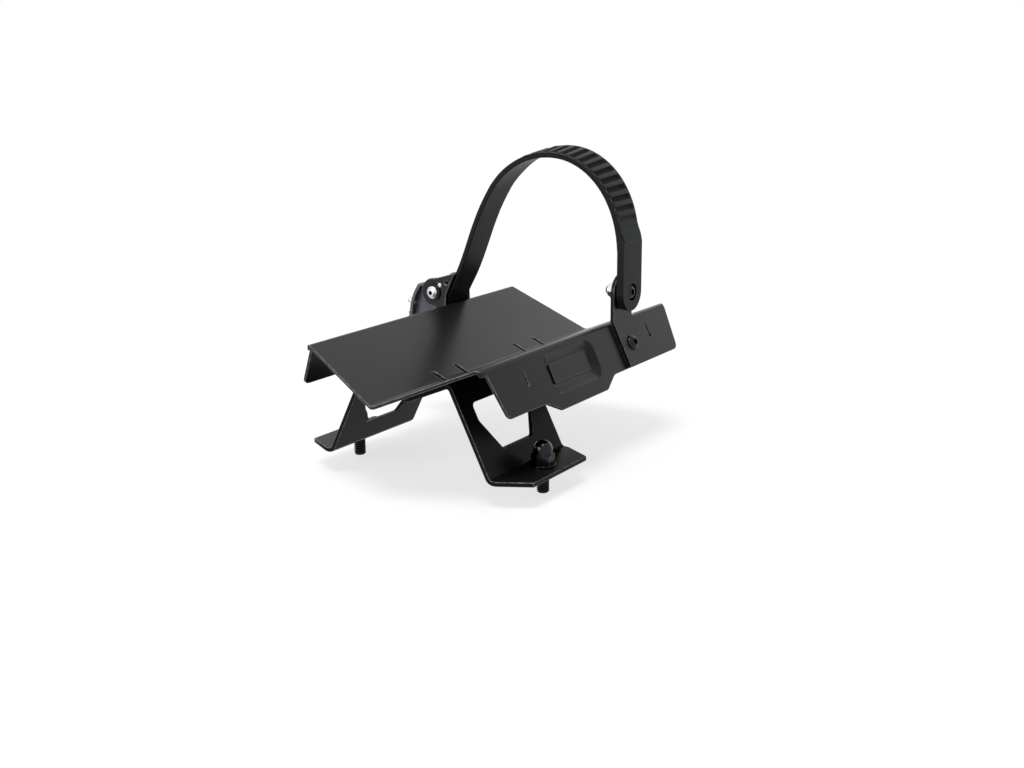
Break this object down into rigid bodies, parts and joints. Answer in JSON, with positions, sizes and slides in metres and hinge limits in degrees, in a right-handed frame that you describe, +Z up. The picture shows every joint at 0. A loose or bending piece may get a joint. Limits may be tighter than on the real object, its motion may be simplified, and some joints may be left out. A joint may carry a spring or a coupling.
{
  "type": "roof mounted bike carrier",
  "caption": "Rear wheel cradle of a roof mounted bike carrier: V tray on a bolted base, toothed strap over the wheel, and a ratchet buckle with lever and pawls.",
  "frame": {"origin": "midway between the two foot studs, level with the underside of the feet", "axes": "+X along the wheel tray towards its overhanging end, +Y across the tray towards the buckle, +Z up"},
  "size_m": [0.253, 0.1914, 0.2016],
  "materials": {
    "powder_coat": "satin",
    "badge": "satin",
    "strap_plastic": "satin",
    "buckle_paint": "gloss",
    "lever_black": "gloss",
    "black_steel": "gloss",
    "zinc_steel": "bright zinc",
    "rivet_metal": "satin"
  },
  "bodies": {
    "carrier": {"wheel_tray": "powder_coat", "base_bracket": "powder_coat", "strap_bracket": "powder_coat", "badge_plate": "badge", "ladder_strap": "strap_plastic", "buckle_frame": "buckle_paint", "foot_stud_near": "black_steel", "foot_stud_far": "black_steel", "foot_washer_near": "black_steel", "foot_washer_far": "black_steel", "foot_nut_near": "black_steel", "foot_nut_far": "black_steel", "bracket_bolt": "black_steel", "bracket_washer": "black_steel", "strap_bolt": "black_steel", "buckle_screw_upper": "black_steel", "buckle_screw_lower": "black_steel", "axle_washer": "black_steel", "bracket_nut": "zinc_steel", "strap_washer": "zinc_steel", "strap_nut": "zinc_steel", "buckle_nut_upper": "zinc_steel", "buckle_nut_lower": "zinc_steel", "lever_axle": "zinc_steel", "axle_nut": "zinc_steel", "hold_pin": "zinc_steel"},
    "lever": {"ratchet_lever": "lever_black", "drive_pin": "zinc_steel", "lever_rivet": "rivet_metal"},
    "drive_pawl_body": {"drive_pawl": "zinc_steel"},
    "hold_pawl_body": {"hold_pawl": "black_steel"}
  },
  "joints": [
    {"name": "lever_hinge", "type": "hinge", "parent": "carrier", "child": "lever", "pos_m": [0.109, 0.07821, 0.08122], "axis": [1, 0, 0], "range_deg": [0, 75]},
    {"name": "drive_pawl_hinge", "type": "hinge", "parent": "lever", "child": "drive_pawl_body", "pos_m": [0.109, 0.07548, 0.07633], "axis": [1, 0, 0], "range_deg": [0, 20], "stiffness_Nm_per_rad": 0.02, "springref_deg": -20.05},
    {"name": "hold_pawl_hinge", "type": "hinge", "parent": "carrier", "child": "hold_pawl_body", "pos_m": [0.109, 0.07268, 0.08686], "axis": [1, 0, 0], "range_deg": [0, 15], "stiffness_Nm_per_rad": 0.03, "springref_deg": -17.19}
  ]
}
